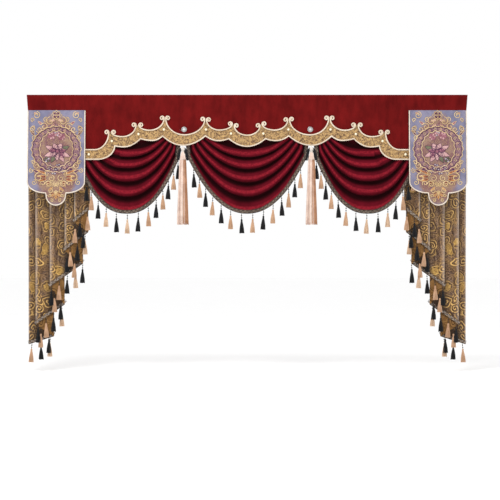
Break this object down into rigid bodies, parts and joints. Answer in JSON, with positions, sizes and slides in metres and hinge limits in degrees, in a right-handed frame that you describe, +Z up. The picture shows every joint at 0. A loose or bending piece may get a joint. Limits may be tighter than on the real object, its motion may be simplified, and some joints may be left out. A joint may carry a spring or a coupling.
{
  "type": "swag and tail drape",
  "caption": "Ornate fabric drape: a velvet heading over a corded scalloped border, gathered swags, pleated tails and embroidered flaps, edged with tassels.",
  "frame": {"origin": "middle of the heading's top edge, on its back face", "axes": "+X right along the heading as seen from the room, +Y away from the room, +Z up"},
  "size_m": [2.4, 0.1246, 1.4614],
  "materials": {
    "velvet": "deep red cut velvet",
    "brocade_border": "gold and tan brocade",
    "cord": "twisted cream rayon cord",
    "pearl": "pearl lustre bead",
    "silver": "plated stone setting",
    "crystal": "clear cut stone",
    "braid": "grey-brown braid with black, beige and cream yarn tassels",
    "bullion": "pinkish cream twisted yarn",
    "flap_cloth": "embroidered lavender silk",
    "piping": "cream piping",
    "tail_cloth": "gold and brown brocade"
  },
  "bodies": {
    "root": {"border": "brocade_border", "bullion_head_left": "bullion", "bullion_head_right": "bullion", "bullion_skirt_left": "bullion", "bullion_skirt_right": "bullion", "flap_left": "flap_cloth", "flap_piping_left": "piping", "flap_piping_right": "piping", "flap_right": "flap_cloth", "lower_cord": "cord", "pearl_01": "pearl", "pearl_02": "pearl", "pearl_03": "pearl", "pearl_04": "pearl", "pearl_05": "pearl", "pearl_06": "pearl", "pearl_07": "pearl", "pearl_08": "pearl", "pearl_09": "pearl", "pearl_10": "pearl", "pearl_11": "pearl", "pearl_12": "pearl", "pelmet": "velvet", "ring_left": "silver", "ring_right": "silver", "stone_left": "crystal", "stone_right": "crystal", "swag_fringe_left": "braid", "swag_fringe_middle": "braid", "swag_fringe_right": "braid", "swag_left": "velvet", "swag_middle": "velvet", "swag_right": "velvet", "tail_fringe_left": "braid", "tail_fringe_right": "braid", "tail_left": "tail_cloth", "tail_right": "tail_cloth", "upper_cord_01": "cord", "upper_cord_02": "cord", "upper_cord_03": "cord", "upper_cord_04": "cord", "upper_cord_05": "cord", "upper_cord_06": "cord", "upper_cord_07": "cord", "upper_cord_08": "cord", "upper_cord_09": "cord", "upper_cord_10": "cord", "upper_cord_11": "cord"}
  },
  "joints": []
}
